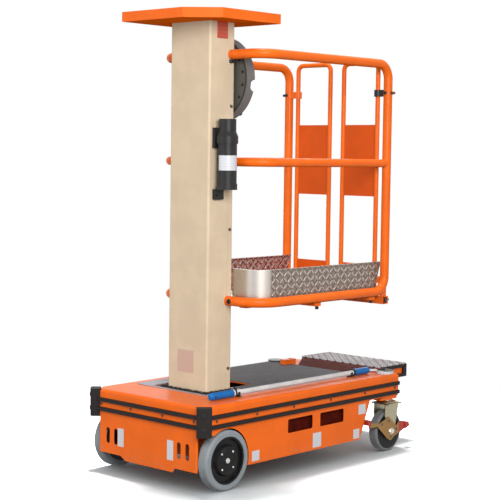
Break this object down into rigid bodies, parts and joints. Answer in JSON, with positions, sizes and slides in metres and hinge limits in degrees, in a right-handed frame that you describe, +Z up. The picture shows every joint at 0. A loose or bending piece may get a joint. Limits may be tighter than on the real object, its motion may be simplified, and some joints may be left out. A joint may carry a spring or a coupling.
{
  "type": "vertical mast lift",
  "caption": "Hand-cranked vertical mast access platform with guard rails, saloon gates, a tray on the mast and a wheeled chassis with braked castors.",
  "frame": {"origin": "bottom centre of the bounding box, on the floor", "axes": "+X towards the step and castor end, -Y the near side in the picture, +Z up"},
  "size_m": [1.5453, 0.7426, 2.01],
  "materials": {
    "orange_paint": "gloss",
    "cream_paint": "satin",
    "aluminium": "satin",
    "zinc": "satin",
    "yellow_zinc": "satin",
    "black_rubber": "matte",
    "grey_tyre": "matte",
    "black_plastic": "matte",
    "grey_plastic": "matte",
    "white_plastic": "gloss",
    "blue_plastic": "gloss",
    "grey_mat": "matte"
  },
  "bodies": {
    "chassis": {"chassis_frame": "orange_paint", "deck_cover": "orange_paint", "edge_strips": "black_rubber", "corner_bumpers": "black_rubber", "opening_plate": "aluminium", "brush_seal": "black_rubber", "deck_mat": "grey_mat", "step_box": "orange_paint", "step_tread": "aluminium", "step_trim": "black_rubber", "step_apron": "aluminium", "deck_fittings": "orange_paint", "ballast_box": "orange_paint", "deck_pole": "white_plastic", "pole_grips": "blue_plastic", "pole_clips": "black_plastic", "axle_brackets": "zinc", "castor_mounts": "orange_paint", "inner_mast": "cream_paint"},
    "carriage": {"mast_column": "cream_paint", "top_tray": "orange_paint", "guard_rail_near": "orange_paint", "guard_rail_far": "orange_paint", "platform_floor": "aluminium", "floor_frame": "orange_paint", "toe_boards": "aluminium", "platform_feet": "black_rubber", "document_tube": "black_plastic", "tube_bracket": "black_plastic", "gate_hinges": "orange_paint"},
    "wheel_near": {"tyre_near": "grey_tyre", "rim_near": "black_plastic"},
    "wheel_far": {"tyre_far": "grey_tyre", "rim_far": "black_plastic"},
    "castor_near": {"castor_fork_near": "zinc", "castor_brake_near": "yellow_zinc"},
    "castor_far": {"castor_fork_far": "zinc", "castor_brake_far": "yellow_zinc"},
    "castor_roll_near": {"castor_wheel_near": "black_rubber"},
    "castor_roll_far": {"castor_wheel_far": "black_rubber"},
    "hand_wheel": {"hand_wheel": "grey_plastic", "hand_grip": "black_plastic"},
    "gate_near": {"gate_frame_near": "orange_paint", "gate_panels_near": "orange_paint"},
    "gate_far": {"gate_frame_far": "orange_paint", "gate_panels_far": "orange_paint"}
  },
  "joints": [
    {"name": "lift", "type": "slide", "parent": "chassis", "child": "carriage", "axis": [0, 0, 1], "range_m": [0, 0.85]},
    {"name": "wheel_near_roll", "type": "hinge", "parent": "chassis", "child": "wheel_near", "pos_m": [-0.6093, -0.3235, 0.128], "axis": [0, 1, 0], "continuous": true},
    {"name": "wheel_far_roll", "type": "hinge", "parent": "chassis", "child": "wheel_far", "pos_m": [-0.6093, 0.3235, 0.128], "axis": [0, 1, 0], "continuous": true},
    {"name": "castor_near_swivel", "type": "hinge", "parent": "chassis", "child": "castor_near", "pos_m": [0.5227, -0.318, 0.24], "axis": [0, 0, 1], "continuous": true},
    {"name": "castor_far_swivel", "type": "hinge", "parent": "chassis", "child": "castor_far", "pos_m": [0.5227, 0.318, 0.24], "axis": [0, 0, 1], "continuous": true},
    {"name": "castor_near_roll", "type": "hinge", "parent": "castor_near", "child": "castor_roll_near", "pos_m": [0.5136, -0.318, 0.098], "axis": [0, 1, 0], "continuous": true},
    {"name": "castor_far_roll", "type": "hinge", "parent": "castor_far", "child": "castor_roll_far", "pos_m": [0.5136, 0.318, 0.098], "axis": [0, 1, 0], "continuous": true},
    {"name": "hand_wheel_turn", "type": "hinge", "parent": "carriage", "child": "hand_wheel", "pos_m": [-0.3183, 0, 1.73], "axis": [1, 0, 0], "continuous": true},
    {"name": "gate_near_swing", "type": "hinge", "parent": "carriage", "child": "gate_near", "pos_m": [0.4997, -0.248, 1.3], "axis": [0, 0, 1], "range_deg": [0, 90], "stiffness_Nm_per_rad": 2},
    {"name": "gate_far_swing", "type": "hinge", "parent": "carriage", "child": "gate_far", "pos_m": [0.4997, 0.248, 1.3], "axis": [0, 0, -1], "range_deg": [0, 90], "stiffness_Nm_per_rad": 2}
  ]
}
